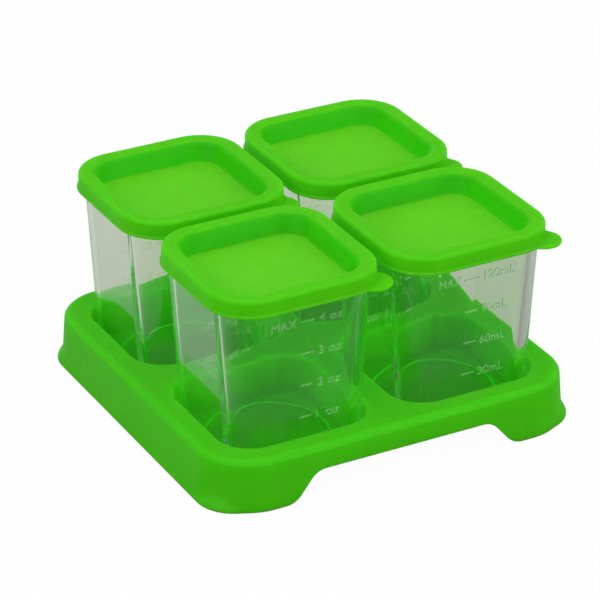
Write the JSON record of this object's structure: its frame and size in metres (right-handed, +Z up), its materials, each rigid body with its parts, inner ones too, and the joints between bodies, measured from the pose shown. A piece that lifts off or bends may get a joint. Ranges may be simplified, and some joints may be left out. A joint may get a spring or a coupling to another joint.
{
  "type": "baby food storage cube set",
  "caption": "Square glass food cubes with press-on tabbed lids, standing in the pockets of a low moulded tray with finger arches.",
  "frame": {"origin": "middle of the tray's foot, on the surface that the tray stands on", "axes": "+Z up, +X to the right and -Y to the front, where the arch of the tray faces the user"},
  "size_m": [0.1482, 0.1462, 0.0781],
  "materials": {
    "tray": "satin, soft to the touch",
    "glass": "clear pressed glass, polished",
    "lid": "satin, soft to the touch"
  },
  "bodies": {
    "tray": {"tray": "tray"},
    "glass_front_left": {"glass_front_left": "glass"},
    "glass_front_right": {"glass_front_right": "glass"},
    "glass_back_left": {"glass_back_left": "glass"},
    "glass_back_right": {"glass_back_right": "glass"},
    "lid_front_left": {"lid_front_left": "lid"},
    "lid_front_right": {"lid_front_right": "lid"},
    "lid_back_left": {"lid_back_left": "lid"},
    "lid_back_right": {"lid_back_right": "lid"}
  },
  "joints": [
    {"name": "glass_front_left_lift", "type": "slide", "parent": "tray", "child": "glass_front_left", "axis": [0, 0, 1], "range_m": [0, 0.1]},
    {"name": "glass_front_right_lift", "type": "slide", "parent": "tray", "child": "glass_front_right", "axis": [0, 0, 1], "range_m": [0, 0.1]},
    {"name": "glass_back_left_lift", "type": "slide", "parent": "tray", "child": "glass_back_left", "axis": [0, 0, 1], "range_m": [0, 0.1]},
    {"name": "glass_back_right_lift", "type": "slide", "parent": "tray", "child": "glass_back_right", "axis": [0, 0, 1], "range_m": [0, 0.1]},
    {"name": "lid_front_left_lift", "type": "slide", "parent": "glass_front_left", "child": "lid_front_left", "axis": [0, 0, 1], "range_m": [0, 0.06]},
    {"name": "lid_front_right_lift", "type": "slide", "parent": "glass_front_right", "child": "lid_front_right", "axis": [0, 0, 1], "range_m": [0, 0.06]},
    {"name": "lid_back_left_lift", "type": "slide", "parent": "glass_back_left", "child": "lid_back_left", "axis": [0, 0, 1], "range_m": [0, 0.06]},
    {"name": "lid_back_right_lift", "type": "slide", "parent": "glass_back_right", "child": "lid_back_right", "axis": [0, 0, 1], "range_m": [0, 0.06]}
  ]
}
